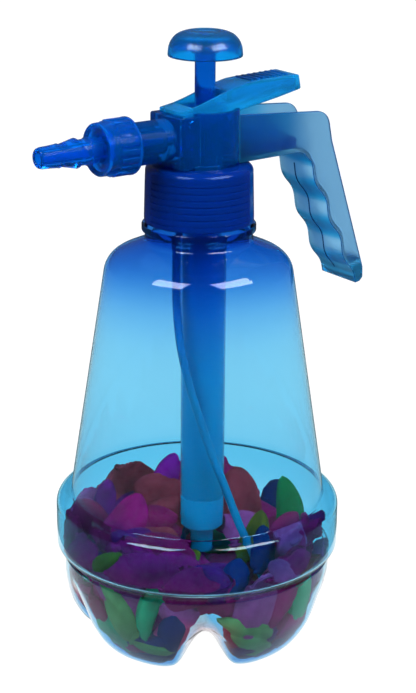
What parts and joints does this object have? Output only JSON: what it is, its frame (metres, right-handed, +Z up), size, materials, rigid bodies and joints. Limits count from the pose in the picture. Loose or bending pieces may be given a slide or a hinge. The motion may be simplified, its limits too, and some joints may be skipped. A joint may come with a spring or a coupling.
{
  "type": "hand-pumped balloon filling pressure bottle",
  "caption": "Clear pressure bottle on a five-foot base with a plunger pump, thumb lever, pistol grip and barbed nozzle, holding limp balloons.",
  "frame": {"origin": "middle of the overall box, on the surface the feet stand on", "axes": "+Z up along the bottle and the pump; the nozzle points along -X and the grip lies on the +X side"},
  "size_m": [0.1799, 0.1394, 0.3],
  "materials": {
    "clear_blue": "clear, lightly blue, very glossy",
    "deep_blue": "deep translucent blue, glossy",
    "mid_blue": "translucent blue, glossy",
    "pale_blue": "pale translucent blue, satin",
    "pump_blue": "translucent blue, satin",
    "natural_plastic": "natural white, satin",
    "black_rubber": "matt",
    "spring_steel": "drawn wire",
    "balloon_magenta": "matt latex",
    "balloon_violet": "matt latex",
    "balloon_maroon": "matt latex",
    "balloon_green": "matt latex",
    "balloon_navy": "matt latex",
    "balloon_brown": "matt latex",
    "balloon_teal": "matt latex"
  },
  "bodies": {
    "bottle_assembly": {"bottle_neck": "clear_blue", "bottle_shoulder": "clear_blue", "bottle": "clear_blue", "bottle_belt": "clear_blue", "bottle_base": "clear_blue", "neck_gasket": "black_rubber", "pump_head": "deep_blue", "handle": "pale_blue", "pump_cylinder": "pump_blue", "cylinder_bush": "pump_blue", "check_valve_cap": "pump_blue", "check_valve_disc": "black_rubber", "dip_tube": "pump_blue", "nozzle_tip": "deep_blue", "nozzle_gasket": "black_rubber", "valve_spring": "spring_steel", "balloon_01": "balloon_violet", "balloon_02": "balloon_maroon", "balloon_03": "balloon_green", "balloon_04": "balloon_navy", "balloon_05": "balloon_brown", "balloon_06": "balloon_teal", "balloon_07": "balloon_magenta", "balloon_08": "balloon_violet", "balloon_09": "balloon_maroon", "balloon_10": "balloon_green", "balloon_11": "balloon_navy", "balloon_12": "balloon_brown", "balloon_13": "balloon_teal", "balloon_14": "balloon_magenta", "balloon_15": "balloon_violet", "balloon_16": "balloon_maroon", "balloon_17": "balloon_green", "balloon_18": "balloon_navy", "balloon_19": "balloon_brown", "balloon_20": "balloon_teal", "balloon_21": "balloon_magenta", "balloon_22": "balloon_violet", "balloon_23": "balloon_maroon", "balloon_24": "balloon_green", "balloon_25": "balloon_navy", "balloon_26": "balloon_brown", "balloon_27": "balloon_teal", "balloon_28": "balloon_magenta"},
    "collar": {"collar_nut": "deep_blue"},
    "nozzle_ring": {"nozzle_nut": "deep_blue"},
    "lever": {"trigger_lever": "mid_blue"},
    "valve": {"valve_pin": "natural_plastic", "valve_seal": "black_rubber"},
    "plunger": {"plunger_knob": "mid_blue", "plunger_rod": "mid_blue", "piston": "mid_blue", "piston_ring": "black_rubber"}
  },
  "joints": [
    {"name": "plunger_stroke", "type": "slide", "parent": "bottle_assembly", "child": "plunger", "axis": [0, 0, 1], "range_m": [0, 0.135]},
    {"name": "lever_press", "type": "hinge", "parent": "bottle_assembly", "child": "lever", "pos_m": [-0.01305, 0, 0.259], "axis": [0, 1, 0], "range_deg": [0, 8], "stiffness_Nm_per_rad": 1, "springref_deg": -8.59},
    {"name": "valve_open", "type": "slide", "parent": "bottle_assembly", "child": "valve", "axis": [-1, 0, 0], "range_m": [0, 0.0012], "deforming": ["valve_spring"]},
    {"name": "collar_turn", "type": "hinge", "parent": "bottle_assembly", "child": "collar", "pos_m": [-0.00205, 0, 0.22], "axis": [0, 0, 1], "range_deg": [0, 540]},
    {"name": "nozzle_nut_turn", "type": "hinge", "parent": "bottle_assembly", "child": "nozzle_ring", "pos_m": [-0.05005, 0, 0.2515], "axis": [1, 0, 0], "range_deg": [0, 720]}
  ],
  "couplings": [
    {"joint": "valve_open", "follows": "lever_press", "m_per_rad": 0.0075}
  ]
}
